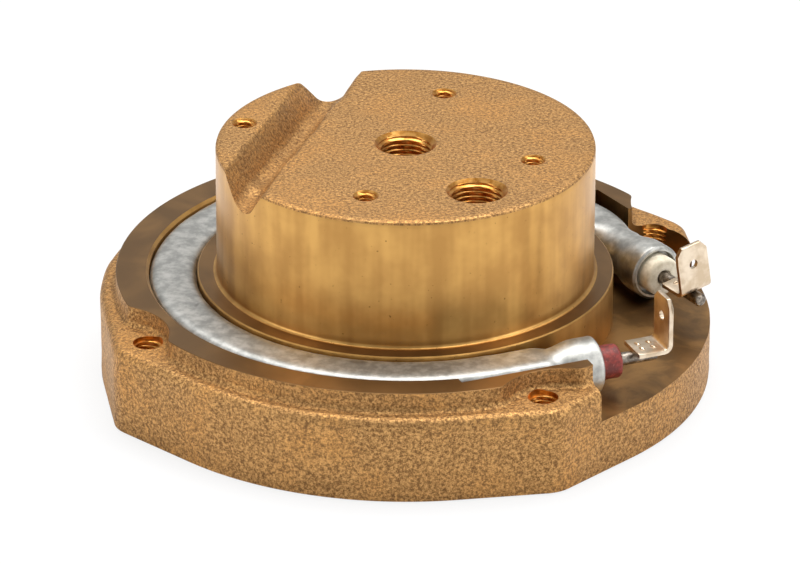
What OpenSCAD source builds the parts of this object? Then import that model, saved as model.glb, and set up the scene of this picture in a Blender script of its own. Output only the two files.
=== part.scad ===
// Upper half of a small brass boiler with a tubular heating element pressed into it.
// The origin is the bottom centre of the flange, +Z is up and +X points at the terminals.

/* [Flange] */
// Radius of the flange's outer wall
flange_r = 53.6; // [52:0.1:58]
// Height of the flange from its base to the machined land
flange_h = 19; // [17:0.5:24]
// Radius of the machined land
land_r = 50.8; // [50:0.1:51.2]
// How far the cast ledge lies below the land
ledge_drop = 3.6; // [2.5:0.1:4.5]
// Rounding of the cast shoulder
shoulder_r = 1.5; // [0.6:0.1:1.8]
// Hollow fillet where the land's side meets the ledge
step_fillet = 1.1; // [0.9:0.1:1.2]
// Bevel along the bottom edge of the flange
base_bevel = 0.6; // [0.3:0.1:1.2]

/* [Lugs] */
// Diameter of the circle that the four bolt holes lie on
bolt_pcd = 100; // [99:0.2:101]
// Radius of each lug round its bolt hole
lug_r = 6.2; // [5.5:0.1:7.5]
// Radius of the hollow that clears the land beside a bolt
scallop_r = 11.5; // [9:0.5:14]
// Distance from the boiler's axis to the deepest point of that hollow
scallop_reach = 47.2; // [46.8:0.1:47.8]
// Hollow fillet round the foot of that hollow
scallop_fillet = 0.8; // [0.4:0.1:0.8]
// Core diameter of the tapped bolt holes
bolt_core_d = 4.2; // [4:0.1:4.6]
// Diameter of the plain mouth above the thread
bolt_mouth_d = 5.2; // [5:0.1:5.6]
// Depth of the plain mouth below the land
bolt_mouth_depth = 4.4; // [4:0.1:6]

/* [Dome] */
// Radius of the turned side
dome_r = 33; // [32:0.1:34]
// Height of the dome above the land
dome_h = 23.7; // [22:0.1:30]
// Rounding of the cast top edge
dome_edge = 1.2; // [0.5:0.1:2]
// Fillet at the foot of the dome
dome_root = 0.6; // [0.2:0.1:1]

/* [Chamber] */
// Radius of the water chamber, which is open at the bottom
chamber_r = 28.5; // [26:0.1:29]
// Thickness of the roof over the chamber
roof_t = 10.7; // [9.5:0.1:13]
// Fillet between the chamber's wall and its roof
chamber_fillet = 3; // [1:0.5:5]
// Width of the seal ring's seat at the chamber's mouth
seat_w = 3; // [2:0.1:4]
// Depth of that seat
seat_depth = 2.4; // [1.5:0.1:3.5]

/* [Ports] */
// Core diameter of the two pipe-threaded ports
port_core_d = 8.57; // [8.2:0.01:8.8]
// Diameter of the bevel at a port's rim
port_rim_d = 10.8; // [10:0.1:11.4]
// Distance of the side port from the axis
port_offset = 23.1; // [20:0.1:23.4]
// Direction of the side port, seen from above
port_angle = -41; // [-48:1:-34]

/* [Tapped holes] */
// Core diameter of the four small tapped holes
screw_core_d = 3.3; // [3:0.1:3.6]
// Diameter of the bevel at their rims
screw_rim_d = 4.6; // [4.2:0.1:5]
// Depth of the small tapped holes
screw_depth = 8; // [6:0.5:8.5]
// Distance of three of them from the axis
screw_offset = 23; // [21:0.1:24]
// Distance of the one beyond the channel
far_screw_offset = 29.5; // [29:0.1:30]

/* [Channel] */
// Distance of the channel's lowest line from the axis
channel_x = 21.6; // [20.5:0.1:22.5]
// Depth of the channel below the dome's top
channel_depth = 5.4; // [4.5:0.1:6.5]
// Radius of the channel's hollow bottom
channel_r = 2.6; // [2:0.1:3]
// Slope of its sides away from upright
channel_slope = 31; // [25:1:36]
// Rounding of its lips
lip_r = 1.4; // [0.6:0.1:1.8]

/* [Heater] */
// Diameter of the heater's tube
tube_d = 8.2; // [7.8:0.1:8.4]
// How much wider the ring is on each side, from being pressed into its groove
press_spread = 0.1; // [0.05:0.01:0.15]
// Wall of the tube
tube_wall = 0.85; // [0.6:0.05:1]
// Radius of the ring that the tube is bent to
ring_r = 40.65; // [40.4:0.05:40.9]
// Depth of the tube's centre line below the land
tube_sink = 4.05; // [4:0.05:4.3]
// How far the pressed top of the ring lies below the land
press_gap = 0.15; // [0.05:0.05:0.4]
// Rounding of the pressed ring's top edges
press_edge = 1.1; // [0.4:0.1:1.6]
// Half the angle of the ring's open side
exit_angle = 50; // [47:1:52]
// Straight length of the front end
front_len = 18; // [17:0.1:19]
// Straight length of the rear end
rear_len = 18.7; // [17.5:0.1:19.5]
// Diameter of the flared ends
flare_d = 10; // [9.4:0.1:10]
// Length of a flared end
flare_len = 3.4; // [2.5:0.1:5]
// Run-out from the tube's diameter to the flare
flare_run = 5; // [3:0.5:7]
// Diameter of the mouth turned into a flared end
mouth_d = 8; // [7.4:0.1:8.4]
// Depth of that mouth
mouth_depth = 1.6; // [1:0.1:3]
// Clearance between the tube and its groove
groove_gap = 0.05; // [0.03:0.01:0.1]

/* [Pocket] */
// Clearance between the flared tube ends and the terminal pocket's floor
floor_gap = 0.05; // [0.03:0.01:0.5]
// Place of the pocket's front wall along the front tube end
front_wall_s = 14.2; // [13:0.1:15]
// Width of the pocket outside the rear tube end's centre line
rear_margin = 12.4; // [11:0.1:13]
// Where the rear end of the pocket starts along the rear tube end
rear_wall_s = 8.6; // [7:0.1:10]
// Radius of the pocket's rear corner
corner_r = 8; // [6:0.5:9]
// Half width of the slot round the front tube end
front_slot_half = 5.4; // [5.2:0.1:6]
// Half width of the slot round the rear tube end
rear_slot_half = 6.2; // [5.4:0.1:6.6]

/* [Filling] */
// Diameter of the resistance wire
wire_d = 0.5; // [0.4:0.05:0.6]
// Number of turns in the resistance coil
coil_turns = 36; // [30:1:50]
// How far the coil is screwed on to each pin
coil_grip = 5; // [3:0.5:6]
// Clearance round the coil, the pins and the filling
fill_gap = 0.05; // [0.02:0.01:0.1]

/* [Terminals] */
// Diameter of the terminal pins
pin_d = 2.3; // [2:0.1:2.6]
// Diameter of the front end's seal
seal_d = 6; // [5.6:0.1:6.4]
// How far the seal stands out of the tube
seal_out = 4.2; // [3:0.1:5]
// Diameter of the rear end's ceramic bush
bush_d = 7; // [6.8:0.1:7.2]
// How far the bush stands out of the tube
bush_out = 2.4; // [1.5:0.1:3.5]
// Depth of the seal and of the bush inside the tube
plug_depth = 5; // [3:0.5:7]
// Width of the push-on tabs
tab_w = 6.3; // [4.8:0.1:6.3]
// Thickness of the tabs
tab_t = 0.8; // [0.5:0.1:1]
// Distance from the tube's bend to the near edge of a tab's foot
tab_start = 25; // [24.5:0.1:26]
// Length of a tab's foot, to the outer face of its blade
tab_foot = 6.3; // [5:0.1:7]
// Height of a tab's blade over the bottom of its foot
blade_h = 9.8; // [8:0.1:11]
// Bevel at the corners of a blade's tip
blade_bevel = 1.2; // [0.5:0.1:1.6]
// Diameter of the hole in a blade
blade_hole_d = 1.7; // [1.2:0.1:2]
// Distance of that hole from the blade's tip
blade_hole_drop = 3.8; // [3:0.1:4.5]
// How far the rear pin runs past its tab
rear_pin_over = 1.2; // [0.5:0.1:2]
// Depth of the flat on each pin that its tab is welded to
weld_flat = 0.15; // [0.05:0.05:0.3]
// Lean of the rear tab about its pin
rear_roll = 9; // [0:1:12]

/* [Hidden] */
$fn = 96;
hull_fn = 32;
eps = 0.02;
over = 1;

land_z = flange_h;
ledge_z = land_z - ledge_drop;
pocket_depth = tube_sink + flare_d / 2 + floor_gap;
floor_z = land_z - pocket_depth;
dome_top = land_z + dome_h;
chamber_top = dome_top - roof_t;
tube_z = land_z - tube_sink;
tube_r = tube_d / 2;
ring_half = tube_r + press_spread;
groove_half = ring_half + groove_gap;
collar_r = ring_r - groove_half;
bore_r = tube_r - tube_wall;
ring_bore_r = ring_half - tube_wall;
flare_r = flare_d / 2;
mouth_r = mouth_d / 2;
bolt_offset = bolt_pcd / 2;
pin_r = pin_d / 2;
land_sink = 2;
groove_bevel = 0.5;
mouth_edge = 0.5;
plug_edge = 0.4;
joint_lap = 0.3;
bend_steps = 6;
pocket_reach = 40;
slot_back = 9;
rim_bevel_run = (port_rim_d - port_core_d) / 2;
screw_bevel_run = (screw_rim_d - screw_core_d) / 2;
coil_r = pin_r + fill_gap + wire_d / 2;
coil_bore = coil_r + wire_d / 2 + fill_gap;
ring_span = 360 - 2 * exit_angle;
arc_len = ring_span * PI / 180 * ring_r;
coil_len = arc_len + 2 * coil_grip;
coil_steps = 8;
wire_sides = 4;
bend_r = 2 * tab_t;
front_pin_end = tab_start + tab_foot - bend_r;
rear_pin_end = tab_start + tab_foot + rear_pin_over;
front_fill_end = front_len - plug_depth;
rear_fill_end = rear_len - plug_depth;
foot_z = pin_r - weld_flat;
blade_x = tab_start + tab_foot - tab_t;
tip_z = foot_z + blade_h;

// Points along an arc in a plane, from one angle to another
function arc(x, y, r, a0, a1, steps) =
    [for (i = [0:steps]) let (a = a0 + (a1 - a0) * i / steps) [x + r * cos(a), y + r * sin(a)]];

// Profile of a disc with a rounded top edge and a bevelled bottom edge
function disc_profile(r, h) = concat(
    [[0, 0], [r - base_bevel, 0], [r, base_bevel]],
    arc(r - shoulder_r, h - shoulder_r, shoulder_r, 0, 90, 5),
    [[0, h]]
);

// Point on the coil's centre line, at a length measured from its front end
function route(s) =
    s < coil_grip
        ? [ring_r, coil_grip - s, -exit_angle]
        : s > coil_grip + arc_len
            ? [ring_r, s - coil_grip - arc_len, exit_angle]
            : [ring_r, 0, -exit_angle - (s - coil_grip) / ring_r * 180 / PI];

// Point of the coil at a length along it, a distance out and a height up
function on_route(s, out, up) =
    let (
        p = route(s),
        turn = p[2],
        run = s < coil_grip ? p[1] : -p[1],
        r = p[0] + out
    ) [r * cos(turn) - run * sin(turn), r * sin(turn) + run * cos(turn), tube_z + up];

// Centre of the wire after a number of turns, with the wire's own offset across and along
function wire_point(t, radial, along) =
    let (
        a = 360 * t,
        s = coil_len * t / coil_turns + along,
        r = coil_r + radial
    ) on_route(s, r * cos(a), r * sin(a));

// Puts a piece that is drawn along +X on the front tube end, starting at its bend
module at_front() {
    rotate([0, 0, -exit_angle])
        translate([ring_r, 0, tube_z])
            rotate([0, 0, 90])
                children();
}

// Puts a piece that is drawn along +X on the rear tube end, starting at its bend
module at_rear() {
    rotate([0, 0, exit_angle])
        translate([ring_r, 0, tube_z])
            rotate([0, 0, -90])
                children();
}

// A rod along +X from one length to another
module rod(r, s0, s1) {
    translate([s0, 0, 0])
        rotate([0, 90, 0])
            cylinder(r = r, h = s1 - s0);
}

module at_lugs() {
    for (i = [0:3])
        rotate([0, 0, 45 + 90 * i])
            children();
}

module flange_blank() {
    hull() {
        rotate_extrude()
            polygon(disc_profile(flange_r, ledge_z));
        at_lugs()
            translate([bolt_offset, 0, 0])
                rotate_extrude($fn = hull_fn)
                    polygon(disc_profile(lug_r, ledge_z));
    }
}

// Machined land, standing on the ledge with a hollow fillet round its foot
module land_disc() {
    difference() {
        rotate_extrude()
            polygon(concat(
                [[0, ledge_z - land_sink], [land_r + step_fillet, ledge_z - land_sink]],
                arc(land_r + step_fillet, ledge_z + step_fillet, step_fillet, -90, -180, 6),
                [[land_r, land_z], [0, land_z]]
            ));
        at_lugs()
            translate([scallop_reach + scallop_r, 0, 0])
                rotate_extrude()
                    polygon(concat(
                        [[0, ledge_z], [scallop_r - scallop_fillet, ledge_z]],
                        arc(scallop_r - scallop_fillet, ledge_z + scallop_fillet, scallop_fillet, -90, 0, 4),
                        [[scallop_r, land_z + over], [0, land_z + over]]
                    ));
    }
}

module dome() {
    rotate_extrude()
        polygon(concat(
            [[0, land_z - land_sink], [dome_r + dome_root, land_z - land_sink]],
            arc(dome_r + dome_root, land_z + dome_root, dome_root, -90, -180, 4),
            arc(dome_r - dome_edge, dome_top - dome_edge, dome_edge, 0, 90, 6),
            [[0, dome_top]]
        ));
}

module chamber() {
    rotate_extrude()
        polygon(concat(
            [[0, -over], [chamber_r + seat_w, -over], [chamber_r + seat_w, seat_depth], [chamber_r, seat_depth]],
            arc(chamber_r - chamber_fillet, chamber_top - chamber_fillet, chamber_fillet, 0, 90, 6),
            [[0, chamber_top]]
        ));
}

// Groove that the ring is pressed into, with a hollow bottom and a bevelled outer edge
module ring_groove() {
    rotate_extrude()
        translate([ring_r, 0]) {
            translate([0, tube_z])
                circle(r = groove_half);
            translate([-groove_half, tube_z])
                square([2 * groove_half, tube_sink + over]);
            polygon([
                [0, land_z - groove_bevel], [groove_half, land_z - groove_bevel],
                [groove_half + groove_bevel + over, land_z + over], [0, land_z + over]
            ]);
        }
}

// Milled pocket for the terminals and the slots for the two straight tube ends
module pocket() {
    difference() {
        translate([0, 0, floor_z])
            linear_extrude(pocket_depth + over)
                pocket_outline();
        cylinder(r = collar_r, h = dome_top);
    }
}

module front_plan() {
    rotate(-exit_angle)
        translate([ring_r, 0])
            rotate(90)
                children();
}

module rear_plan() {
    rotate(exit_angle)
        translate([ring_r, 0])
            rotate(-90)
                children();
}

module pocket_outline() {
    front_plan()
        translate([-slot_back, -front_slot_half])
            square([slot_back + front_wall_s + over, 2 * front_slot_half]);
    rear_plan()
        translate([-slot_back, -rear_slot_half])
            square([slot_back + rear_wall_s + over, 2 * rear_slot_half]);
    intersection() {
        front_plan()
            translate([front_wall_s, -pocket_reach])
                square([2 * pocket_reach, 2 * pocket_reach]);
        rear_plan() {
            translate([rear_wall_s, rear_margin - corner_r])
                circle(r = corner_r);
            translate([rear_wall_s, rear_margin - 2 * pocket_reach])
                square([2 * pocket_reach, 2 * pocket_reach]);
        }
    }
}

// Half of the channel's section: the side slopes, its foot is hollow and its lip is round
function channel_side() =
    let (
        s = channel_slope,
        foot_x = channel_r * cos(s),
        foot_z = channel_r - channel_r * sin(s),
        lip_x0 = lip_r * cos(s),
        lip_drop = lip_r - lip_r * sin(s),
        rise = channel_depth - lip_drop - foot_z,
        lip_x = foot_x + rise * tan(s) + lip_x0
    ) concat(
        arc(0, channel_r, channel_r, -90, -s, 8),
        arc(lip_x, channel_depth - lip_r, lip_r, 180 - s, 90, 6),
        [[lip_x, channel_depth + over]]
    );

module channel() {
    side = channel_side();
    n = len(side);
    translate([-channel_x, dome_r + over, dome_top - channel_depth])
        rotate([90, 0, 0])
            linear_extrude(2 * (dome_r + over))
                polygon(concat(side, [for (i = [n - 1:-1:1]) [-side[i][0], side[i][1]]]));
}

module port() {
    translate([0, 0, chamber_top - over])
        cylinder(d = port_core_d, h = roof_t + 2 * over);
    translate([0, 0, dome_top - rim_bevel_run])
        cylinder(d1 = port_core_d, d2 = port_rim_d + 2 * eps, h = rim_bevel_run + eps);
}

module tapped_hole() {
    translate([0, 0, dome_top - screw_depth])
        cylinder(d = screw_core_d, h = screw_depth + over);
    translate([0, 0, dome_top - screw_bevel_run])
        cylinder(d1 = screw_core_d, d2 = screw_rim_d + 2 * eps, h = screw_bevel_run + eps);
}

module holes() {
    port();
    rotate([0, 0, port_angle])
        translate([port_offset, 0, 0])
            port();
    for (a = [-90, 0, 90])
        rotate([0, 0, a])
            translate([screw_offset, 0, 0])
                tapped_hole();
    translate([-far_screw_offset, 0, 0])
        tapped_hole();
    at_lugs()
        translate([bolt_offset, 0, 0]) {
            translate([0, 0, -over])
                cylinder(d = bolt_core_d, h = land_z + 2 * over);
            translate([0, 0, land_z - bolt_mouth_depth])
                cylinder(d = bolt_mouth_d, h = bolt_mouth_depth + over);
        }
}

module boiler_head() {
    color("peru")
        difference() {
            union() {
                flange_blank();
                land_disc();
                dome();
            }
            chamber();
            ring_groove();
            pocket();
            channel();
            holes();
        }
}

// Section of the pressed ring: round below, flat on top
module ring_section() {
    top = tube_sink - press_gap;
    flat_half = ring_half - press_edge;
    intersection() {
        circle(r = ring_half);
        translate([-ring_half - over, -ring_half - over])
            square([2 * (ring_half + over), ring_half + over + eps]);
    }
    translate([-ring_half, 0])
        square([2 * ring_half, top - press_edge]);
    translate([-flat_half, 0])
        square([2 * flat_half, top]);
    for (x = [-flat_half, flat_half])
        translate([x, top - press_edge])
            circle(r = press_edge);
}

// Revolves a section along the ring's closed side
module along_ring() {
    translate([0, 0, tube_z])
        rotate([0, 0, exit_angle])
            rotate_extrude(angle = ring_span)
                translate([ring_r, 0])
                    children();
}

// One straight tube end with its flare
module tube_end(length) {
    rod(tube_r, -joint_lap, length - flare_len);
    translate([length - flare_len - flare_run, 0, 0])
        rotate([0, 90, 0])
            cylinder(r1 = tube_r, r2 = flare_r, h = flare_run);
    rotate([0, 90, 0])
        rotate_extrude()
            polygon(concat(
                [[0, length - flare_len], [flare_r, length - flare_len]],
                arc(flare_r - mouth_edge, length - mouth_edge, mouth_edge, 0, 90, 4),
                [[0, length]]
            ));
}

module tube_hollow(length) {
    rod(bore_r, -joint_lap, length + over);
    rod(mouth_r, length - mouth_depth, length + over);
}

module heater_sheath() {
    color("silver")
        difference() {
            union() {
                along_ring()
                    ring_section();
                at_front()
                    tube_end(front_len);
                at_rear()
                    tube_end(rear_len);
            }
            along_ring()
                circle(r = ring_bore_r);
            at_front()
                tube_hollow(front_len);
            at_rear()
                tube_hollow(rear_len);
        }
}

module filling_end(length) {
    difference() {
        rod(bore_r - fill_gap, -joint_lap, length);
        rod(coil_bore + fill_gap, -over, coil_grip + over);
        rod(pin_r + fill_gap, 0, length + over);
    }
}

module magnesia_filling() {
    color("ivory")
        union() {
            along_ring()
                difference() {
                    circle(r = ring_bore_r - fill_gap);
                    circle(r = coil_bore);
                }
            at_front()
                filling_end(front_fill_end);
            at_rear()
                filling_end(rear_fill_end);
        }
}

// The wire is wound round the centre line, with square turns
module resistance_coil() {
    turns = coil_turns;
    n = turns * coil_steps;
    half = wire_d / 2;
    ring = [[-half, 0], [0, half], [half, 0], [0, -half]];
    points = [
        for (i = [0:n])
            for (j = [0:wire_sides - 1])
                wire_point(i / coil_steps, ring[j][0], ring[j][1])
    ];
    sides = [
        for (i = [0:n - 1])
            for (j = [0:wire_sides - 1])
                let (a = i * wire_sides + j, b = i * wire_sides + (j + 1) % wire_sides)
                    [a, b, b + wire_sides, a + wire_sides]
    ];
    color("gray")
        polyhedron(
            points = points,
            faces = concat([[3, 2, 1, 0]], sides, [[for (j = [0:wire_sides - 1]) n * wire_sides + j]])
        );
}

// Pin with a rounded outer end and a flat that its tab is welded to
module pin(end) {
    difference() {
        rotate([0, 90, 0])
            rotate_extrude()
                polygon(concat(
                    [[0, 0], [pin_r, 0]],
                    [for (p = arc(0, 0, pin_r, 0, 90, 6)) [p[0], end - pin_r / 2 + p[1] / 2]]
                ));
        translate([tab_start - fill_gap, -tab_w, foot_z])
            cube([end, 2 * tab_w, pin_r]);
    }
}

module front_pin() {
    color("dimgray")
        at_front()
            pin(front_pin_end);
}

module rear_pin() {
    color("dimgray")
        at_rear()
            rotate([rear_roll, 0, 0])
                pin(rear_pin_end);
}

// Plug in a tube end, with a part of another width outside
module plug(length, out_r, stand_out) {
    difference() {
        union() {
            rod(bore_r - fill_gap, length - plug_depth, length - mouth_depth + eps);
            rotate([0, 90, 0])
                rotate_extrude()
                    polygon(concat(
                        [[0, length - mouth_depth], [out_r, length - mouth_depth]],
                        arc(out_r - plug_edge, length + stand_out - plug_edge, plug_edge, 0, 90, 4),
                        [[0, length + stand_out]]
                    ));
        }
        rod(pin_r + fill_gap, length - plug_depth - over, length + stand_out + over);
    }
}

module front_seal() {
    color("firebrick")
        at_front()
            plug(front_len, seal_d / 2, seal_out);
}

module rear_bush() {
    color("antiquewhite")
        at_rear()
            plug(rear_len, bush_d / 2, bush_out);
}

// Push-on tab: a foot on the pin, bent up into a blade
module tab() {
    centre_x = blade_x + tab_t - bend_r;
    centre_z = foot_z + bend_r;
    difference() {
        intersection() {
            translate([0, tab_w, 0])
                rotate([90, 0, 0])
                    linear_extrude(2 * tab_w)
                        polygon(concat(
                            [[tab_start, foot_z + tab_t], [tab_start, foot_z]],
                            arc(centre_x, centre_z, bend_r, -90, 0, bend_steps),
                            [[blade_x + tab_t, tip_z], [blade_x, tip_z]],
                            arc(centre_x, centre_z, bend_r - tab_t, 0, -90, bend_steps)
                        ));
            rotate([90, 0, 90])
                linear_extrude(blade_x + tab_foot)
                    polygon([
                        [-tab_w / 2, foot_z - over], [tab_w / 2, foot_z - over],
                        [tab_w / 2, tip_z - blade_bevel], [tab_w / 2 - blade_bevel, tip_z + eps],
                        [blade_bevel - tab_w / 2, tip_z + eps], [-tab_w / 2, tip_z - blade_bevel]
                    ]);
        }
        translate([blade_x - over, 0, tip_z - blade_hole_drop])
            rotate([0, 90, 0])
                cylinder(d = blade_hole_d, h = tab_t + 2 * over);
    }
}

module front_tab() {
    color("lightgray")
        at_front()
            tab();
}

module rear_tab() {
    color("lightgray")
        at_rear()
            rotate([rear_roll, 0, 0])
                tab();
}

boiler_head();
heater_sheath();
magnesia_filling();
resistance_coil();
front_pin();
rear_pin();
front_seal();
rear_bush();
front_tab();
rear_tab();
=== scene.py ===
"""Looks for a small brass boiler half with a tubular heater pressed into it.

Lengths are in millimetres while a mesh is made, and the finished mesh is scaled to metres.
The origin is the bottom centre of the flange, +Z is up and +X points at the terminals.
"""

import math

import bmesh
import bpy
from mathutils import Matrix, Vector, noise

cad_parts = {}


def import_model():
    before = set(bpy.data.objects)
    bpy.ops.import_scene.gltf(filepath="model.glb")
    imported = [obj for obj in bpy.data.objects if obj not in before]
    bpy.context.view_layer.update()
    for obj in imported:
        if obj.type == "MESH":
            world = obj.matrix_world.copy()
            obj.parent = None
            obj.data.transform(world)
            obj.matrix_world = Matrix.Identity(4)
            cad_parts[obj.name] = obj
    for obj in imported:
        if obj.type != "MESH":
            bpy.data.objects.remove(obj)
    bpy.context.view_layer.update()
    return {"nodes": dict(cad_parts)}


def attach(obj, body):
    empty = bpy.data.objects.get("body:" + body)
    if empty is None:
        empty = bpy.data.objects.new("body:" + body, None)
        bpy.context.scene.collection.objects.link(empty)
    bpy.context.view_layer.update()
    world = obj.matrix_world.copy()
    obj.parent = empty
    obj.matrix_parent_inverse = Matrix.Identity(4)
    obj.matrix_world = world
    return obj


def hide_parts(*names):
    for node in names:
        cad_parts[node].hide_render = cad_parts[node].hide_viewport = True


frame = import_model()

MM = 0.001
TURN = 2 * math.pi

# Sizes shared with the part's source, in millimetres
FLANGE_R = 53.6
LAND_Z = 19.0
LEDGE_Z = 15.4
LAND_R = 50.8
SHOULDER_R = 1.5
STEP_FILLET = 1.1
BASE_BEVEL = 0.6
BOLT_OFFSET = 50.0
LUG_R = 6.2
SCALLOP_R = 11.5
SCALLOP_REACH = 47.2
DOME_R = 33.0
DOME_TOP = 42.7
DOME_ROOT = 0.6
CHAMBER_R = 28.5
CHAMBER_TOP = 32.0
CHAMBER_FILLET = 3.0
SEAT_R = 31.5
SEAT_DEPTH = 2.4
PORT_OFFSET = 23.1
PORT_ANGLE = -41.0
SCREW_DEPTH = 8.0
CHANNEL_X = -21.6
CHANNEL_DEPTH = 5.4
CHANNEL_R = 2.6
CHANNEL_SLOPE = 31.0
LIP_R = 1.4
RING_R = 40.65
TUBE_Z = 14.95
TUBE_R = 4.1
RING_HALF = 4.2
TUBE_WALL = 0.85
GROOVE_HALF = 4.25
COLLAR_R = RING_R - GROOVE_HALF
PRESSED_TOP = 3.9
EXIT_ANGLE = 50.0
FRONT_LEN = 18.0
REAR_LEN = 18.7
FLARE_R = 5.0
MOUTH_R = 4.0
MOUTH_DEPTH = 1.6
FLOOR_Z = 9.9
FRONT_WALL = 14.2
REAR_MARGIN = 12.4
REAR_WALL = 8.6
CORNER_R = 8.0
FRONT_SLOT = 5.4
REAR_SLOT = 6.2
PIN_R = 1.15
SEAL_R = 3.0
SEAL_OUT = 4.2
BUSH_R = 3.5
BUSH_OUT = 2.4
PLUG_DEPTH = 5.0
TAB_W = 6.3
TAB_T = 0.8
TAB_START = 25.0
TAB_FOOT = 6.3
BLADE_H = 9.8
BLADE_BEVEL = 1.2
BLADE_HOLE_R = 0.85
BLADE_HOLE_DROP = 3.8
WELD_FLAT = 0.15
REAR_ROLL = 9.0
REAR_PIN_OVER = 1.2


# Materials


def srgb(red, green, blue):
    """A colour given in screen values from 0 to 255, as the linear one that shaders take."""
    parts = [c / 255 for c in (red, green, blue)]
    return tuple(c / 12.92 if c < 0.04045 else ((c + 0.055) / 1.055) ** 2.4 for c in parts) + (1.0,)


class Wire:
    """A shader socket that takes plain arithmetic."""

    def __init__(self, paint, socket):
        self.paint = paint
        self.socket = socket

    def combine(self, operation, *values):
        return self.paint.node("Math", {"operation": operation}, dict(enumerate(values)))

    def __add__(self, other):
        return self.combine("ADD", self, other)

    __radd__ = __add__

    def __sub__(self, other):
        return self.combine("SUBTRACT", self, other)

    def __rsub__(self, other):
        return self.combine("SUBTRACT", other, self)

    def __mul__(self, other):
        return self.combine("MULTIPLY", self, other)

    __rmul__ = __mul__

    def __pow__(self, other):
        return self.combine("POWER", self, other)

    def ease(self, low, high):
        """Rises smoothly from 0 at low to 1 at high, or falls where low is the larger."""
        start, end, first, last = (low, high, 0.0, 1.0) if low < high else (high, low, 1.0, 0.0)
        return self.paint.node(
            "MapRange",
            {"interpolation_type": "SMOOTHSTEP"},
            {"Value": self, "From Min": start, "From Max": end, "To Min": first, "To Max": last},
        )


class Paint:
    """A material whose nodes come from one method."""

    def __init__(self, name):
        self.material = bpy.data.materials.new(name)
        self.material.use_nodes = True
        self.tree = self.material.node_tree
        self.tree.nodes.clear()
        metres = self.node("TexCoord", {}, {}, "Object")
        self.place = self.node("Mapping", {}, {"Vector": metres, "Scale": (1 / MM,) * 3})
        axes = self.node("SeparateXYZ", {}, {"Vector": self.place}, None)
        self.x, self.y, self.z = (Wire(self, s) for s in axes.outputs)

    def node(self, kind, settings=None, values=None, output=0):
        """Adds a node. Settings are set first, then sockets get their values or links."""
        made = self.tree.nodes.new("ShaderNode" + kind)
        for name, value in (settings or {}).items():
            setattr(made, name, value)
        for name, value in (values or {}).items():
            if isinstance(value, Wire):
                self.tree.links.new(value.socket, made.inputs[name])
            else:
                made.inputs[name].default_value = value
        return made if output is None else Wire(self, made.outputs[output])

    def blend(self, factor, first, second):
        """Mixes two colours, each given as a colour or as a wire."""
        return self.node("Mix", {"data_type": "RGBA"}, {0: factor, 6: first, 7: second}, 2)

    def grain(self, scale, detail=2.0, roughness=0.5, at=None, distortion=0.0):
        """Soft noise with features about 1/scale millimetres across."""
        values = {
            "Vector": at or self.place,
            "Scale": scale,
            "Detail": detail,
            "Roughness": roughness,
            "Distortion": distortion,
        }
        return self.node("TexNoise", {}, values, "Fac")

    def stretched(self, x, y, z):
        """The place with each axis multiplied, so that a pattern runs along one of them."""
        return self.node("Mapping", {}, {"Vector": self.place, "Scale": (x, y, z)})

    def radius(self):
        return (self.x * self.x + self.y * self.y) ** 0.5

    def around(self, length=1.0, across=1.0):
        """Place on turned work: along the cut, away from the axis and up it."""
        angle = self.node("Math", {"operation": "ARCTAN2"}, {0: self.y, 1: self.x})
        return self.node(
            "CombineXYZ",
            {},
            {"X": angle * (30.0 * length), "Y": self.radius() * across, "Z": self.z * across},
        )

    def finish(self, base, roughness, metallic=1.0, height=None, depth=0.0, strength=1.0):
        """Puts the surface together. The bump's depth is in millimetres."""
        values = {"Base Color": base, "Roughness": roughness, "Metallic": metallic}
        if height is not None:
            bump = {"Height": height, "Distance": depth * MM, "Strength": strength}
            values["Normal"] = self.node("Bump", {}, bump)
        shader = self.node("BsdfPrincipled", {}, values)
        self.node("OutputMaterial", {}, {"Surface": shader}, None)
        return self.material


def cast_brass():
    p = Paint("cast_brass")
    grit = p.grain(1.9, 3.0, 0.62)
    fine = p.grain(4.2, 2.0, 0.6)
    cloud = p.grain(0.09, 3.0, 0.55)
    cells = {"Vector": p.place, "Scale": 1.5, "Smoothness": 0.5}
    pores = p.node("TexVoronoi", {"feature": "SMOOTH_F1"}, cells, "Distance")
    grains = (grit * 0.62 + fine * 0.38).ease(0.36, 0.66)
    dark = p.blend(cloud.ease(0.35, 0.65), srgb(116, 82, 48), srgb(128, 95, 60))
    light = p.blend(cloud.ease(0.4, 0.7), srgb(206, 160, 100), srgb(214, 160, 92))
    base = p.blend(grains, dark, light)
    rough = 0.62 - grains * 0.16
    height = grit * 0.7 + fine * 0.3 + pores * 0.5
    return p.finish(base, rough, 0.86, height, 0.16, 0.9)


def turned_brass():
    p = Paint("turned_brass")
    lines = p.grain(1.0, 3.0, 0.7, p.around(0.03, 5.0))
    # Lighter and darker bands that run up the turned sides are painted reflections; the smear is the brass's
    # own uneven tone.
    painted_reflection_streaks = p.grain(1.0, 2.0, 0.5, p.around(0.35, 0.03))
    smear = p.grain(0.12, 3.0, 0.6)
    specks = p.grain(1.6, 1.0, 0.5).ease(0.74, 0.8)
    smear_and_painted_reflections = (painted_reflection_streaks * 0.5 + smear * 0.5).ease(0.36, 0.66)
    base = p.blend(smear_and_painted_reflections, srgb(176, 132, 74), srgb(206, 160, 92))
    base = p.blend(specks * 0.6, base, srgb(74, 48, 26))
    rough = 0.27 + lines * 0.1 + smear * 0.08
    return p.finish(base, rough, 1.0, lines, 0.006, 0.5)


def faced_brass():
    p = Paint("faced_brass")
    lines = p.grain(1.0, 3.0, 0.65, p.around(0.02, 4.0))
    smear = p.grain(0.07, 3.0, 0.6, None, 0.6)
    # The land's darker, browner base colour is painted shade: it stands in for the dark reflection the land
    # shows.
    base = p.blend(smear.ease(0.35, 0.7), srgb(124, 95, 62), srgb(146, 112, 72))
    rough = 0.3 + lines * 0.06 + smear * 0.1
    return p.finish(base, rough, 1.0, lines, 0.004, 0.4)


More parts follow.
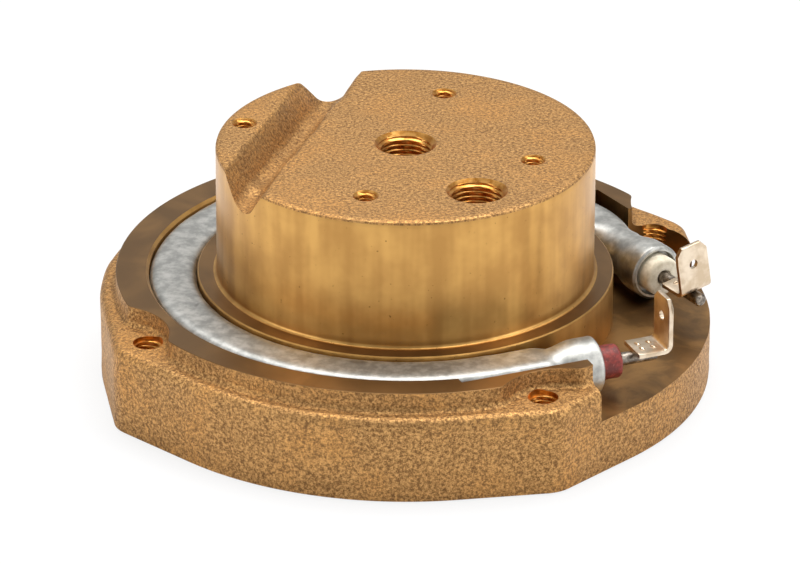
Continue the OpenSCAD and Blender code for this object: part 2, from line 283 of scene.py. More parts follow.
def milled_brass():
    p = Paint("milled_brass")
    sweep = p.grain(1.0, 2.0, 0.6, p.stretched(0.25, 2.4, 0.25))
    stain = p.grain(0.11, 4.0, 0.6, None, 0.9)
    base = p.blend(stain.ease(0.35, 0.68), srgb(128, 96, 58), srgb(172, 130, 78))
    rough = 0.26 + sweep * 0.1 + stain * 0.1
    return p.finish(base, rough, 1.0, sweep, 0.008, 0.5)


def bored_brass():
    p = Paint("bored_brass")
    wear = p.grain(0.8, 3.0, 0.6)
    base = p.blend(wear.ease(0.35, 0.65), srgb(190, 128, 58), srgb(226, 168, 92))
    return p.finish(base, 0.24 + wear * 0.1, 1.0, wear, 0.01, 0.4)


def tube_metal():
    p = Paint("tube_metal")
    frost = p.grain(0.5, 4.0, 0.65)
    fine = p.grain(3.2, 3.0, 0.6)
    drawn = p.grain(1.0, 3.0, 0.7, p.around(0.05, 3.0))
    stain = p.grain(0.16, 3.0, 0.6, None, 0.8)
    pale = p.blend(frost.ease(0.35, 0.68), srgb(158, 158, 154), srgb(192, 191, 186))
    base = p.blend(stain.ease(0.62, 0.74) * 0.5, pale, srgb(104, 102, 98))
    rough = 0.34 + frost * 0.16 + fine * 0.08
    height = drawn * 0.4 + fine * 0.35 + frost * 0.25
    return p.finish(base, rough, 1.0, height, 0.03, 0.5)


def pin_metal():
    p = Paint("pin_metal")
    wear = p.grain(1.2, 3.0, 0.6)
    base = p.blend(wear.ease(0.35, 0.7), srgb(96, 88, 80), srgb(166, 156, 144))
    return p.finish(base, 0.28 + wear * 0.16, 1.0, wear, 0.02, 0.5)


def tab_metal():
    p = Paint("tab_metal")
    rolled = p.grain(1.0, 3.0, 0.6, p.stretched(1.4, 1.4, 0.2))
    tarnish = p.grain(0.4, 3.0, 0.6)
    base = p.blend(tarnish.ease(0.35, 0.7), srgb(196, 176, 150), srgb(222, 206, 184))
    return p.finish(base, 0.3 + rolled * 0.12, 1.0, rolled, 0.008, 0.5)


def seal_rubber():
    p = Paint("seal_rubber")
    mottle = p.grain(0.9, 4.0, 0.65)
    dust = p.grain(3.0, 2.0, 0.5).ease(0.62, 0.72)
    base = p.blend(mottle.ease(0.35, 0.7), srgb(96, 26, 20), srgb(146, 48, 38))
    base = p.blend(dust * 0.5, base, srgb(178, 104, 90))
    return p.finish(base, 0.42 + mottle * 0.2, 0.0, mottle, 0.05, 0.5)


def bush_ceramic():
    p = Paint("bush_ceramic")
    mottle = p.grain(0.7, 3.0, 0.6)
    pits = p.grain(4.0, 2.0, 0.6)
    base = p.blend(mottle.ease(0.3, 0.7), srgb(206, 196, 172), srgb(232, 224, 204))
    return p.finish(base, 0.55 + pits * 0.2, 0.0, pits, 0.02, 0.5)


def packed_powder():
    p = Paint("packed_powder")
    lumps = p.grain(2.5, 4.0, 0.7)
    base = p.blend(lumps.ease(0.3, 0.7), srgb(212, 208, 200), srgb(240, 238, 232))
    return p.finish(base, 0.85 + lumps * 0.1, 0.0, lumps, 0.08, 0.6)


def coil_wire():
    p = Paint("coil_wire")
    oxide = p.grain(2.2, 3.0, 0.6)
    base = p.blend(oxide.ease(0.35, 0.7), srgb(84, 78, 72), srgb(136, 128, 118))
    return p.finish(base, 0.4 + oxide * 0.2, 1.0, oxide, 0.01, 0.5)


CAST, TURNED, FACED, MILLED, BORED = range(5)
BRASS = [cast_brass(), turned_brass(), faced_brass(), milled_brass(), bored_brass()]


# Mesh tools


def wrapped(rows, columns, place, finish=None, closed=True):
    """A grid laid out by place(row, column). A closed one joins its last column to its first."""
    bm = bmesh.new()
    across = columns if closed else columns - 1
    bmesh.ops.create_grid(bm, x_segments=across, y_segments=rows - 1, size=1.0)
    bm.verts.ensure_lookup_table()
    for i, vert in enumerate(bm.verts):
        row, column = divmod(i, across + 1)
        vert.co = place(row, column % columns if closed else column)
    bm.faces.ensure_lookup_table()
    if finish:
        for i, face in enumerate(bm.faces):
            face.material_index = finish(i // across)
    bmesh.ops.remove_doubles(bm, verts=bm.verts, dist=1e-5)
    return bm


def capped(bm):
    """Closes the open ends and turns every face outwards."""
    rims = [e for e in bm.edges if e.is_boundary]
    if rims:
        bmesh.ops.holes_fill(bm, edges=rims, sides=0)
    bmesh.ops.recalc_face_normals(bm, faces=bm.faces)
    return bm


def turned(profile, steps=96, finish=None):
    """A solid turned about the Z axis from (radius, height) points, bottom first."""
    def place(row, column):
        r, z = profile[row]
        a = TURN * column / steps
        return Vector((r * math.cos(a), r * math.sin(a), z))

    return capped(wrapped(len(profile), steps, place, finish))


def arc(x, y, r, a0, a1, steps):
    """Points along an arc from one angle to another, in degrees."""
    angles = [math.radians(a0 + (a1 - a0) * i / steps) for i in range(steps + 1)]
    return [(x + r * math.cos(a), y + r * math.sin(a)) for a in angles]


def prism(outline, z0, z1, finish=0):
    """A solid that stands on an outline of (x, y) points."""
    bm = bmesh.new()
    verts = [bm.verts.new((x, y, z0)) for x, y in outline]
    face = bm.faces.new(verts)
    raised = bmesh.ops.extrude_face_region(bm, geom=[face])
    top = [g for g in raised["geom"] if isinstance(g, bmesh.types.BMVert)]
    bmesh.ops.translate(bm, verts=top, vec=(0, 0, z1 - z0))
    for f in bm.faces:
        f.material_index = finish
    bmesh.ops.recalc_face_normals(bm, faces=bm.faces)
    return bm


def joined(parts):
    """One mesh from several, each given as a mesh or as (mesh, matrix)."""
    whole = bmesh.new()
    for part in parts:
        bm, matrix = part if isinstance(part, tuple) else (part, None)
        if matrix is not None:
            bmesh.ops.transform(bm, matrix=matrix, verts=bm.verts)
        data = bpy.data.meshes.new("part")
        bm.to_mesh(data)
        whole.from_mesh(data)
        bpy.data.meshes.remove(data)
        bm.free()
    return whole


def as_object(name, bm, materials):
    data = bpy.data.meshes.new(name)
    bm.to_mesh(data)
    bm.free()
    for material in materials:
        data.materials.append(material)
    made = bpy.data.objects.new(name, data)
    bpy.context.scene.collection.objects.link(made)
    return made


def cut(body, cutter, operation="DIFFERENCE"):
    """Takes a cutter out of a body, or joins it on, and keeps the cutter's own finishes."""
    tool = as_object("cutter", cutter, BRASS)
    modifier = body.modifiers.new("cut", "BOOLEAN")
    modifier.object = tool
    modifier.operation = operation
    modifier.solver = "EXACT"
    modifier.material_mode = "INDEX"
    bpy.context.view_layer.update()
    shown = body.evaluated_get(bpy.context.evaluated_depsgraph_get())
    result = bpy.data.meshes.new_from_object(shown)
    body.modifiers.clear()
    body.data = result
    bpy.data.objects.remove(tool)


def hand_over(made, node, angle=35.0):
    """Scales a finished piece to metres, shades it and lets it stand for its node."""
    made.data.transform(Matrix.Scale(MM, 4))
    for face in made.data.polygons:
        face.use_smooth = True
    made.data.set_sharp_from_angle(angle=math.radians(angle))
    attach(made, "root")
    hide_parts(node)
    return made


def wobble(at, size, amount, seed=0.0):
    """Soft unevenness with features about size millimetres across."""
    return amount * noise.noise(Vector(at) / size + Vector((seed, seed, seed)))


# The casting, in the rough


def lug_distance(angle):
    """Angle from the nearest lug's middle, in degrees."""
    return angle % 90.0 - 45.0


def outline_r(angle):
    """Distance of the flange's wall from the axis, at an angle in degrees."""
    off = math.radians(abs(lug_distance(angle)))
    tangent = math.acos((FLANGE_R - LUG_R) / BOLT_OFFSET)
    nose = math.atan2(LUG_R * math.sin(tangent), BOLT_OFFSET + LUG_R * math.cos(tangent))
    if off >= tangent:
        return FLANGE_R
    if off >= nose:
        return FLANGE_R / math.cos(tangent - off)
    return BOLT_OFFSET * math.cos(off) + math.sqrt(LUG_R ** 2 - (BOLT_OFFSET * math.sin(off)) ** 2)


def land_edge_r(angle):
    """Distance of the land's edge from the axis, with the hollows beside the bolts."""
    off = math.radians(abs(lug_distance(angle)))
    centre = SCALLOP_REACH + SCALLOP_R
    plain = LAND_R + 0.25 * math.cos(math.radians(angle - 107.0)) - 0.05
    across = SCALLOP_R ** 2 - (centre * math.sin(off)) ** 2
    if across <= 0:
        return plain
    hollow = centre * math.cos(off) - math.sqrt(across)
    return -0.35 * math.log(math.exp(-plain / 0.35 + 140) + math.exp(-hollow / 0.35 + 140)) + 49.0


def column_angles():
    """Angles round the flange, closer together at the lugs."""
    angles = []
    for lug in range(4):
        middle = 45.0 + 90.0 * lug
        for i in range(-45, 45):
            share = i / 45
            angles.append(middle + 45.0 * (0.42 * share + 0.58 * share ** 3))
    return angles


def casting_rows():
    """Rows of the rough casting, from the bottom's middle to the top's middle.

    Each one is (height, kind, value, finish). A wall row is set in from the flange's wall,
    a step row stands out from the land's edge and a round row has a radius of its own.
    """
    rows = [(0.0, "round", 20.0, TURNED), (0.0, "wall", BASE_BEVEL + 1.2, TURNED)]
    rows += [(0.0, "wall", BASE_BEVEL, FACED), (BASE_BEVEL * 0.4, "wall", 0.15, CAST)]
    rows += [(BASE_BEVEL, "wall", 0.0, CAST)]
    low, high = BASE_BEVEL + 1.3, LEDGE_Z - SHOULDER_R
    rows += [(low + (high - low) * i / 9, "wall", 0.0, CAST) for i in range(10)]
    rows += [
        (z, "wall", -x, CAST) for x, z in arc(-SHOULDER_R, LEDGE_Z - SHOULDER_R, SHOULDER_R, 0, 90, 6)[1:]
    ]
    rows += [
        (z, "step", x, CAST) for x, z in arc(STEP_FILLET, LEDGE_Z + STEP_FILLET, STEP_FILLET, 270, 180, 6)
    ]
    rows += [(LEDGE_Z + 1.8, "step", 0.0, CAST), (LAND_Z - 0.5, "step", -0.05, CAST)]
    rows += [(LAND_Z - 0.08, "step", -0.1, FACED)]
    rows += [(LAND_Z, "step", -0.2, FACED), (LAND_Z, "step", -1.2, FACED), (LAND_Z, "round", 45.4, FACED)]
    rows += [(LAND_Z, "round", r, FACED) for r in (42.0, 38.0, 36.0, 34.5)]
    root = arc(DOME_R + DOME_ROOT, LAND_Z + DOME_ROOT, DOME_ROOT, 270, 180, 5)
    rows += [(z, "round", x, TURNED) for x, z in root]
    rows += [(z, "round", DOME_R, TURNED) for z in (22.0, 25.0, 29.0, 33.0, 37.0, 39.5, 41.0)]
    rows += [(DOME_TOP - 0.55, "round", DOME_R, CAST), (DOME_TOP - 0.2, "round", DOME_R - 0.12, CAST)]
    rows += [(DOME_TOP, "round", r, CAST) for r in (32.5, 31.6, 30.5)]
    rows += [(DOME_TOP, "round", 30.5 - 1.5 * i, CAST) for i in range(1, 20)]
    rows.append((DOME_TOP, "round", 0.0, CAST))
    return rows


def rough_casting():
    rows = casting_rows()
    angles = column_angles()
    outer = [outline_r(a) for a in angles]
    inner = [land_edge_r(a) for a in angles]

    def place(row, column):
        z, kind, value, finish = rows[row]
        angle = angles[column]
        r = value
        if kind == "wall":
            r = outer[column] - value
        elif kind == "step":
            r = min(inner[column] + value, outer[column] - SHOULDER_R - 0.02 + 0.02 * value)
        turn = math.radians(angle)
        at = Vector((r * math.cos(turn), r * math.sin(turn), z))
        if finish == CAST and z > 0.5 and kind != "round":
            push = min(0.0, wobble(at, 14.0, 0.22) + wobble(at, 4.0, 0.09, 7.0) - 0.1)
            at.x += push * math.cos(turn)
            at.y += push * math.sin(turn)
            if z > LEDGE_Z - SHOULDER_R:
                at.z += wobble(at, 9.0, 0.14, 3.0)
        if kind == "round" and finish == CAST:
            fade = min(1.0, (DOME_R - r) / 3.0)
            swell = wobble(at, 16.0, 0.2, 5.0) + wobble(at, 5.0, 0.08, 9.0)
            at.z += min(0.0, swell * fade - 0.08)
        return at

    return capped(wrapped(len(rows), len(angles), place, lambda row: rows[row][3]))


# What is cut out of it


def chamber_tool():
    profile = [(0.0, -1.0), (SEAT_R, -1.0), (SEAT_R, SEAT_DEPTH), (CHAMBER_R, SEAT_DEPTH)]
    profile += arc(CHAMBER_R - CHAMBER_FILLET, CHAMBER_TOP - CHAMBER_FILLET, CHAMBER_FILLET, 0, 90, 6)
    profile += [(0.0, CHAMBER_TOP)]
    kinds = [TURNED] * 3 + [CAST] * len(profile)
    return turned(profile, 96, lambda row: kinds[row])


def groove_tool():
    """The ring groove, as a closed ring section turned all round."""
    section = arc(RING_R, TUBE_Z, GROOVE_HALF, 180, 360, 24)
    section += [(RING_R + GROOVE_HALF, LAND_Z - 0.5), (RING_R + GROOVE_HALF + 0.5, LAND_Z)]
    section += [(RING_R + GROOVE_HALF + 1.5, LAND_Z + 1.0), (RING_R - GROOVE_HALF - 1.2, LAND_Z + 1.0)]
    section += [(RING_R - GROOVE_HALF - 0.2, LAND_Z), (RING_R - GROOVE_HALF, LAND_Z - 0.2)]
    count = len(section)

    def place(row, column):
        r, z = section[row % count]
        a = TURN * column / 180
        return Vector((r * math.cos(a), r * math.sin(a), z))

    return capped(wrapped(count + 1, 180, place, lambda row: TURNED))


def along(side):
    """Matrix that puts a piece drawn along +X on a tube end: side 1 is the front, -1 the rear."""
    turn = Matrix.Rotation(math.radians(-EXIT_ANGLE * side), 4, "Z")
    shift = Matrix.Translation((RING_R, 0, TUBE_Z))
    return turn @ shift @ Matrix.Rotation(math.radians(90 * side), 4, "Z")


def flat_along(side):
    """The same on the plan, with heights left as they are."""
    matrix = along(side)
    matrix.translation.z = 0
    return matrix


def on_plan(side, points):
    matrix = flat_along(side)
    return [tuple((matrix @ Vector((x, y, 0)))[:2]) for x, y in points]


def pocket_outlines():
    """Outlines of the terminal pocket and of the slots for the tube ends."""
    top = LAND_Z + 1.0
    reach = 40.0
    front_slot = on_plan(
        1, [(-9, -FRONT_SLOT), (FRONT_WALL + 1, -FRONT_SLOT), (FRONT_WALL + 1, FRONT_SLOT), (-9, FRONT_SLOT)]
    )
    rear_slot = on_plan(
        -1, [(-9, -REAR_SLOT), (REAR_WALL + 1, -REAR_SLOT), (REAR_WALL + 1, REAR_SLOT), (-9, REAR_SLOT)]
    )
    corner = arc(REAR_WALL, REAR_MARGIN - CORNER_R, CORNER_R, 90, 270, 32)
    rear_end = (2 * reach, REAR_MARGIN - 2 * CORNER_R)
    rear_side = on_plan(-1, [(2 * reach, REAR_MARGIN)] + corner + [rear_end])
    front_line = on_plan(1, [(FRONT_WALL, -reach), (FRONT_WALL, reach)])
    rear_line = on_plan(-1, [(REAR_WALL, -reach), (REAR_WALL, reach)])
    return top, front_slot, rear_slot, rear_side, front_line, rear_line


def crossing(a, b, c, d):
    """Where the line through a and b meets the line through c and d."""
    ax, ay = b[0] - a[0], b[1] - a[1]
    cx, cy = d[0] - c[0], d[1] - c[1]
    share = ((c[0] - a[0]) * cy - (c[1] - a[1]) * cx) / (ax * cy - ay * cx)
    return (a[0] + ax * share, a[1] + ay * share)


def open_pocket(body):
    top, front_slot, rear_slot, rear_side, front_line, rear_line = pocket_outlines()
    apex = crossing(*front_line, *rear_line)
    rear_out = rear_side[0]
    rear_in = on_plan(-1, [(REAR_WALL, REAR_MARGIN)])[0]
    wedge = [apex, front_line[0], (90.0, front_line[0][1]), (90.0, rear_out[1]), rear_out, rear_in]
    shapes = [prism(front_slot, FLOOR_Z, top, MILLED), prism(rear_slot, FLOOR_Z, top, MILLED)]
    shapes += [prism(wedge, FLOOR_Z, top, MILLED), prism(rear_side, FLOOR_Z, top, MILLED)]
    tool = as_object("pocket", shapes[0], BRASS)
    for shape in shapes[1:]:
        cut(tool, shape, "UNION")
    collar = turned([(0.0, 0.0), (COLLAR_R, 0.0), (COLLAR_R, 60.0), (0.0, 60.0)], 180, lambda row: TURNED)
    cut(tool, collar)
    bm = bmesh.new()
    bm.from_mesh(tool.data)
    bpy.data.objects.remove(tool)
    cut(body, bm)


def channel_tool():
    """The channel across the top, with a sloping side, a hollow foot and round lips."""
    slope = math.radians(CHANNEL_SLOPE)
    drop = LIP_R - LIP_R * math.sin(slope)
    foot = CHANNEL_R - CHANNEL_R * math.sin(slope)
    rise = CHANNEL_DEPTH - drop - foot
    lip_x = CHANNEL_R * math.cos(slope) + rise * math.tan(slope) + LIP_R * math.cos(slope)
    side = arc(0.0, CHANNEL_R, CHANNEL_R, -90, -CHANNEL_SLOPE, 8)
    lip = arc(lip_x, CHANNEL_DEPTH - LIP_R, LIP_R, 180 - CHANNEL_SLOPE, 90, 6)
    (x0, z0), (x1, z1) = side[-1], lip[0]
    middle = [(x0 * (1 - t) + x1 * t, z0 * (1 - t) + z1 * t) for t in (0.25, 0.5, 0.75)]
    right = side + middle + lip + [(lip_x + 0.6, CHANNEL_DEPTH + 0.06), (lip_x + 1.0, CHANNEL_DEPTH + 2.0)]
    section = [(-x, z) for x, z in reversed(right[1:])] + right
    count = len(section)
    steps = 70
    length = 2 * (DOME_R + 1.5)

    def place(row, column):
        y = -length / 2 + length * row / (steps - 1)
        x, z = section[column]
        at = Vector((CHANNEL_X + x, y, DOME_TOP - CHANNEL_DEPTH + z))
        if z < CHANNEL_DEPTH + 1:
            at.x += wobble(at, 9.0, 0.35, 2.0) + wobble(at, 3.0, 0.1, 4.0)
            at.z += wobble(at, 7.0, 0.25, 6.0)
            along_ridge = (y + 15.5) / 2.2
            across_ridge = (x - 0.8) / 3.0
            at.z += 0.75 * math.exp(-along_ridge ** 2 - across_ridge ** 2)
        return at

    return capped(wrapped(steps, count, place, lambda row: CAST, closed=True))


def thread_tool(core_r, depth, pitch, z0, z1, mouth_r=None, mouth_from=None, steps=40):
    """A tap: a helical thread between two heights, with a bevel or a plain mouth at the top."""
    per_turn = 8
    rows = int((z1 - z0) / pitch * per_turn) + 1
    ridge = [0.0, 0.12, 0.5, 0.92, 1.0, 0.92, 0.5, 0.12]

    def place(row, column):
        z = z0 + (z1 - z0) * row / (rows - 1)
        turn = (z - z0) / pitch - column / steps
        spot = (turn % 1.0) * per_turn
        low = int(spot) % per_turn
        share = spot - int(spot)
        height = ridge[low] * (1 - share) + ridge[(low + 1) % per_turn] * share
        r = core_r + depth * height * min(1.0, (z - z0) / pitch)
        if mouth_r is not None and z > mouth_from:
            r = max(r, core_r + (mouth_r - core_r) * (z - mouth_from) / (z1 - mouth_from))
        a = TURN * column / steps
        return Vector((r * math.cos(a), r * math.sin(a), z))

    return capped(wrapped(rows, steps, place, lambda row: BORED))


def hole_tools():
    """Every tapped hole, in place."""
    tools = []
    top = DOME_TOP + 0.6
    side = math.radians(PORT_ANGLE)
    for x, y in ((0.0, 0.0), (PORT_OFFSET * math.cos(side), PORT_OFFSET * math.sin(side))):
        tap = thread_tool(4.285, 0.55, 0.907, CHAMBER_TOP - 1.0, top, 6.05, DOME_TOP - 1.15, 56)
        tools.append((tap, Matrix.Translation((x, y, 0))))
    for x, y in ((0.0, 23.0), (0.0, -23.0), (23.0, 0.0), (-29.5, 0.0)):
        tap = thread_tool(1.65, 0.36, 0.7, DOME_TOP - SCREW_DEPTH, top, 2.95, DOME_TOP - 0.7, 32)
        tools.append((tap, Matrix.Translation((x, y, 0))))
    for lug in range(4):
        a = math.radians(45.0 + 90.0 * lug)
        spot = Matrix.Translation((BOLT_OFFSET * math.cos(a), BOLT_OFFSET * math.sin(a), 0))
        tap = thread_tool(2.1, 0.42, 0.8, -1.0, LAND_Z - 4.4, None, None, 36)
        tools.append((tap, spot))
        mouth = [(0.0, -4.6), (2.55, -4.4), (2.6, -4.2), (2.6, 2.0), (0.0, 2.0)]
        mouth = [(r, LAND_Z + z) for r, z in mouth]
        tools.append((turned(mouth, 36, lambda row: BORED), spot))
    return tools


def boiler_body():
    body = as_object("boiler_body", rough_casting(), BRASS)
    cut(body, joined([chamber_tool(), groove_tool()]))
    cut(body, channel_tool())
    open_pocket(body)
    for tool in hole_tools():
        cut(body, joined([tool]))
    return hand_over(body, "boiler_head", 32.0)


# The heater's tube


def route(s):
    """Centre and direction at a length along the tube, from the front bend."""
    span = math.radians(360.0 - 2 * EXIT_ANGLE) * RING_R
    if s < 0:
        a = math.radians(-EXIT_ANGLE)
        heading = Vector((math.sin(a), -math.cos(a), 0))
        start = Vector((RING_R * math.cos(a), RING_R * math.sin(a), 0))
        return start + heading * s, heading
    if s > span:
        a = math.radians(EXIT_ANGLE)
        heading = Vector((math.sin(a), -math.cos(a), 0))
        start = Vector((RING_R * math.cos(a), RING_R * math.sin(a), 0))
        return start + heading * (s - span), heading
    a = math.radians(-EXIT_ANGLE) - s / RING_R
    return Vector((RING_R * math.cos(a), RING_R * math.sin(a), 0)), Vector((math.sin(a), -math.cos(a), 0))


def ease(value, low, high):
    share = min(1.0, max(0.0, (value - low) / (high - low)))
    return share * share * (3 - 2 * share)


def heater_tube():
    span = math.radians(360.0 - 2 * EXIT_ANGLE) * RING_R
    around = 48
    dents = ((-9.0, 0.9, 1.1, 0.22), (span + 7.0, 0.75, 1.3, 0.16), (span + 10.2, 0.5, 0.8, 0.12))
    front_steps = (0.0, 0.12, 0.3, 0.55, 1.0, 1.8, 2.6, 3.4, 4.2, 5.2, 6.2, 7.2, 8.2, 9.0, 9.6, 10.0)
    stations = [-FRONT_LEN + x for x in front_steps]
    stations += [-7.2, -6.4, -5.6, -4.8, -4.0, -3.2, -2.4, -1.6, -0.8]
    stations += [span * i / 150 for i in range(151)]
    stations += [span + 0.8 + i for i in range(10)]
    stations += [span + x for x in (10.3, 11.3, 12.3, 13.3, 14.3, 15.3, 16.1)]
    stations += [span + REAR_LEN - x for x in (1.8, 1.0, 0.55, 0.3, 0.12, 0.0)]
    rows = [(s, "outside") for s in stations]
    rear_in, front_in = span + REAR_LEN - MOUTH_DEPTH, -FRONT_LEN + MOUTH_DEPTH
    rows += [(span + REAR_LEN, "lip"), (span + REAR_LEN - 0.3, "mouth")]
    rows += [(rear_in, "mouth"), (rear_in, "bore")]
    rows += [(s, "bore") for s in reversed(stations) if front_in < s < rear_in]
    rows += [(front_in, "bore"), (front_in, "mouth"), (-FRONT_LEN + 0.3, "mouth"), (-FRONT_LEN, "lip")]
    rows.append(rows[0])

    def place(row, column):
        s, kind = rows[row]
        centre, heading = route(s)
        outward = Vector((-heading.y, heading.x, 0))
        a = TURN * column / around
        c, sn = math.cos(a), math.sin(a)
        end = min(s + FRONT_LEN, span + REAR_LEN - s)
        in_ring = ease(s, -1.5, 1.5) * ease(span - s, -1.5, 1.5)
        if kind == "outside":
            flare = 1 - ease(end, 3.6, 8.6)
            r = TUBE_R + (RING_HALF - TUBE_R) * in_ring + (FLARE_R - TUBE_R) * flare
            r -= 0.45 * (1 - ease(end, 0.0, 0.5)) ** 2
            pressed = ease(s, -10.2, -7.6) * ease(span - s, -6.0, 1.0)
            power = 2.0 + 3.4 * pressed
            if sn > 0:
                grow = (abs(c) ** power + abs(sn) ** power) ** (-1 / power)
                top = PRESSED_TOP / RING_HALF
                out, up = r * grow * c, r * grow * sn * (1 + (top - 1) * pressed)
            else:
                out, up = r * c, r * sn
        else:
            r = {"lip": MOUTH_R + 0.18, "mouth": MOUTH_R, "bore": TUBE_R - TUBE_WALL}[kind]
            out, up = r * c, r * sn
        at = centre + outward * out + Vector((0, 0, TUBE_Z + up))
        if kind == "outside" and end > 0.6:
            push = wobble(at, 6.0, 0.07, 1.0) + wobble(at, 2.2, 0.025, 8.0)
            at += (outward * c + Vector((0, 0, sn))) * push
            for spot, side, width, deep in dents:
                near = ((s - spot) / width) ** 2 + ((sn - side) / 0.35) ** 2
                at.z -= deep * math.exp(-near)
        return at

    bm = wrapped(len(rows), around, place)
    bmesh.ops.recalc_face_normals(bm, faces=bm.faces)
    return hand_over(as_object("heater_tube", bm, [tube_metal()]), "heater_sheath", 42.0)


# The terminals


def rod_profile(points, steps=40, roughen=0.0, seed=0.0):
    """A solid turned about +X from (length, radius) points."""
    def place(row, column):
        x, r = points[row]
        a = TURN * column / steps
        r += wobble((x, 3 * math.cos(a), 3 * math.sin(a)), 1.6, roughen, seed) if r > 0.5 else 0.0
        return Vector((x, r * math.cos(a), r * math.sin(a)))

    return capped(wrapped(len(points), steps, place))


def pin_piece(name, node, side, end, roll):
    points = [(0.0, 0.0), (0.0, PIN_R)] + [(x, PIN_R) for x in range(2, int(end) - 1, 2)]
    points += [(end - PIN_R / 2 + y / 2, r) for r, y in arc(0, 0, PIN_R, 0, 90, 8)]
    bm = rod_profile(points, 28, 0.02, 4.0)
    matrix = along(side) @ Matrix.Rotation(math.radians(roll), 4, "X")
    flat = PIN_R - WELD_FLAT
    for vert in bm.verts:
        if vert.co.x > TAB_START - 0.6 and vert.co.z > flat:
            vert.co.z = flat
    bmesh.ops.transform(bm, matrix=matrix, verts=bm.verts)
    return hand_over(as_object(name, bm, [pin_metal()]), node)


def plug_piece(name, node, side, length, out_r, stand_out, material, edge, roughen):
    inner = TUBE_R - TUBE_WALL - 0.05
    deep = length - PLUG_DEPTH
    step = length - MOUTH_DEPTH
    face = length + stand_out
    points = [(deep, PIN_R + 0.05), (deep, inner), (step, inner), (step, out_r)]
    count = 6
    points += [(step + (face - edge - step) * i / count, out_r) for i in range(1, count)]
    points += [(face - edge + y, out_r - edge + x) for x, y in arc(0, 0, edge, 0, 90, 5)]
    points += [(face - 0.05, PIN_R + 0.35), (face - 0.4, PIN_R + 0.05), (deep, PIN_R + 0.05)]
    bm = wrapped(len(points), 48, lambda row, column: ring_spot(points[row], column, 48, roughen))
    bmesh.ops.recalc_face_normals(bm, faces=bm.faces)
    bmesh.ops.transform(bm, matrix=along(side), verts=bm.verts)
    return hand_over(as_object(name, bm, [material]), node)


def ring_spot(point, column, steps, roughen):
    x, r = point
    a = TURN * column / steps
    if r > 2.5:
        r += wobble((x, 3 * math.cos(a), 3 * math.sin(a)), 1.8, roughen, 2.0)
    return Vector((x, r * math.cos(a), r * math.sin(a)))


def tab_piece(name, node, side, roll):
    """A push-on tab: its side profile is drawn, made thick, rounded and drilled."""
    foot = PIN_R - WELD_FLAT
    bend = 2 * TAB_T
    blade_x = TAB_START + TAB_FOOT
    tip = foot + BLADE_H
    inner = arc(blade_x - bend, foot + bend, bend - TAB_T, -90, 0, 8)
    outer = arc(blade_x - bend, foot + bend, bend, -90, 0, 8)
    rise = [foot + bend + (tip - foot - bend) * i / 6 for i in range(1, 7)]
    run = [TAB_START + (blade_x - bend - TAB_START) * i / 5 for i in range(5)]
    low = [(x, foot) for x in run] + outer + [(blade_x, z) for z in rise]
    high = [(x, foot + TAB_T) for x in run] + inner + [(blade_x - TAB_T, z) for z in rise]
    count = len(low)
    widths = 7

    def place(row, column):
        x, z = (low + high[::-1])[row % (2 * count)]
        half = TAB_W / 2
        over = max(0.0, z - (tip - BLADE_BEVEL))
        return Vector((x, -(half - over) + 2 * (half - over) * column / (widths - 1), z))

    bm = wrapped(2 * count + 1, widths, place, None, closed=False)
    capped(bm)
    sharp = [e for e in bm.edges if e.calc_face_angle(0.0) > math.radians(50)]
    bmesh.ops.bevel(
        bm, geom=sharp, offset=0.1, offset_type="OFFSET", segments=2, profile=0.5,
        affect="EDGES", clamp_overlap=True, material=-1,
    )
    made = as_object(name, bm, [])
    near, far = blade_x - 3, blade_x + 2
    drill = rod_profile([(near, 0.0), (near, BLADE_HOLE_R), (far, BLADE_HOLE_R), (far, 0.0)], 28)
    bmesh.ops.translate(drill, verts=drill.verts, vec=(0, 0, tip - BLADE_HOLE_DROP))
    cut(made, drill)
    welds = []
    for x in (TAB_START + 1.5, TAB_START + 3.6):
        for y in (-1.0, 1.0):
            dab = bmesh.new()
            bmesh.ops.create_uvsphere(dab, u_segments=16, v_segments=8, radius=0.5)
            bmesh.ops.scale(dab, vec=(0.75, 1.35, 0.55), verts=dab.verts)
            for vert in dab.verts:
                vert.co *= 1 + wobble(vert.co * 3, 0.8, 0.3, x + y)
            welds.append((dab, Matrix.Translation((x, y, foot + TAB_T)) @ Matrix.Rotation(0.35, 4, "Z")))
    cut(made, joined(welds), "UNION")
    made.data.materials.clear()
    made.data.materials.append(METALS["tab"])
    for face in made.data.polygons:
        face.material_index = 0
    made.data.transform(along(side) @ Matrix.Rotation(math.radians(roll), 4, "X"))
    return hand_over(made, node)


METALS = {"tab": tab_metal()}


# Camera, floor and light

# The camera's places are in metres, its lens is in millimetres and its roll in radians
CAMERA_SPOT = (0.2917, -0.9422, 0.4804)
CAMERA_TARGET = (0, 0, 0.0187)
CAMERA_ROLL = 0.0022
LENS = 279.9
SHIFT = (-0.00673, -0.01725)


def look_from(spot, target, roll=0.0):
    """Rotation of a camera or lamp at a spot that points at a target."""
    facing = (Vector(target) - Vector(spot)).to_track_quat("-Z", "Y").to_matrix().to_4x4()
    return Matrix.Translation(spot) @ facing @ Matrix.Rotation(roll, 4, "Z")


def camera():
    data = bpy.data.cameras.new("camera")
    data.sensor_width = 36.0
    data.lens = LENS
    data.shift_x, data.shift_y = SHIFT
    data.clip_start, data.clip_end = 0.05, 20.0
    made = bpy.data.objects.new("camera", data)
    made.matrix_world = look_from(CAMERA_SPOT, CAMERA_TARGET, CAMERA_ROLL)
    bpy.context.scene.collection.objects.link(made)
    bpy.context.scene.camera = made


def lamp(name, spot, target, size, power):
    data = bpy.data.lights.new(name, "AREA")
    data.shape = "RECTANGLE"
    data.size, data.size_y = size
    data.energy = power
    made = bpy.data.objects.new(name, data)
    made.matrix_world = look_from(spot, target)
    bpy.context.scene.collection.objects.link(made)


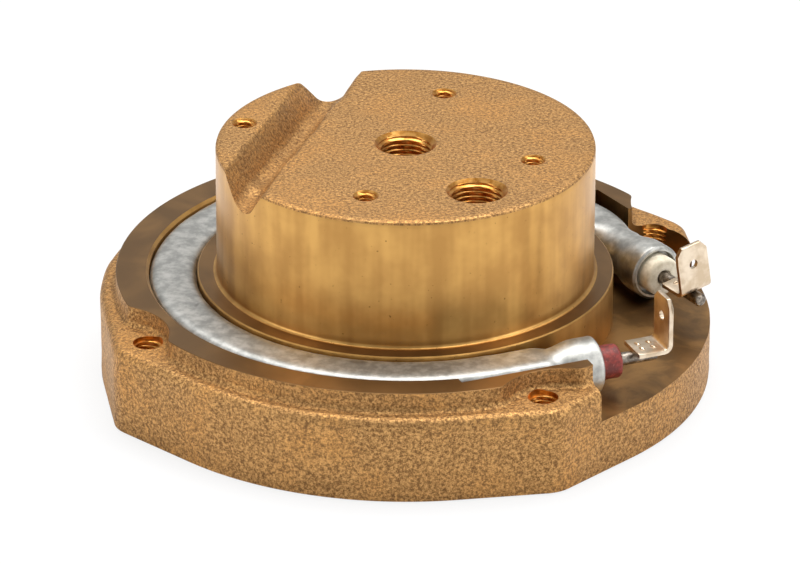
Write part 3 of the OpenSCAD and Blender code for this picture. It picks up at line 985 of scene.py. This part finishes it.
def floor():
    bm = bmesh.new()
    bmesh.ops.create_grid(bm, x_segments=1, y_segments=1, size=6.0)
    p = Paint("floor_white")
    rays = p.node("LightPath", {}, {}, None)
    seen = Wire(p, rays.outputs["Is Camera Ray"])
    white = p.node("Emission", {}, {"Color": (1, 1, 1, 1), "Strength": 1.0})
    matt = p.node("BsdfDiffuse", {}, {"Color": (0.8, 0.8, 0.8, 1)})
    shown = p.node("MixShader", {}, {0: seen * 0.8, 1: matt, 2: white})
    p.node("OutputMaterial", {}, {"Surface": shown}, None)
    made = as_object("floor", bm, [p.material])


def world():
    made = bpy.data.worlds.new("studio")
    bpy.context.scene.world = made
    made.use_nodes = True
    tree = made.node_tree
    tree.nodes.clear()
    out = tree.nodes.new("ShaderNodeOutputWorld")
    rays = tree.nodes.new("ShaderNodeLightPath")
    mix = tree.nodes.new("ShaderNodeMixShader")
    seen = tree.nodes.new("ShaderNodeBackground")
    seen.inputs["Color"].default_value = (1, 1, 1, 1)
    lit = tree.nodes.new("ShaderNodeBackground")
    lit.inputs["Color"].default_value = (0.5, 0.5, 0.5, 1)
    tree.links.new(rays.outputs["Is Camera Ray"], mix.inputs[0])
    tree.links.new(lit.outputs[0], mix.inputs[1])
    tree.links.new(seen.outputs[0], mix.inputs[2])
    tree.links.new(mix.outputs[0], out.inputs["Surface"])


camera()
floor()
world()
lamp("overhead", (0.0, 0.25, 1.1), (0, 0, 0.02), (1.2, 0.8), 16.0)
lamp("front_left", (-0.9, -0.7, 0.5), (0, 0, 0.03), (0.6, 0.8), 4.0)
lamp("right", (1.0, -0.1, 0.5), (0, 0, 0.03), (0.5, 0.8), 4.0)

boiler_body()
heater_tube()
pin_piece("front_pin_bar", "front_pin", 1, TAB_START + TAB_FOOT - 2 * TAB_T, 0.0)
pin_piece("rear_pin_bar", "rear_pin", -1, TAB_START + TAB_FOOT + REAR_PIN_OVER, REAR_ROLL)
plug_piece("front_sleeve", "front_seal", 1, FRONT_LEN, SEAL_R, SEAL_OUT, seal_rubber(), 0.5, 0.12)
plug_piece("rear_plug", "rear_bush", -1, REAR_LEN, BUSH_R, BUSH_OUT, bush_ceramic(), 0.7, 0.03)
tab_piece("front_blade", "front_tab", 1, 0.0)
tab_piece("rear_blade", "rear_tab", -1, REAR_ROLL)

for node, material in (("magnesia_filling", packed_powder()), ("resistance_coil", coil_wire())):
    frame["nodes"][node].data.materials.clear()
    frame["nodes"][node].data.materials.append(material)

scene = bpy.context.scene
scene.view_settings.view_transform = "Standard"
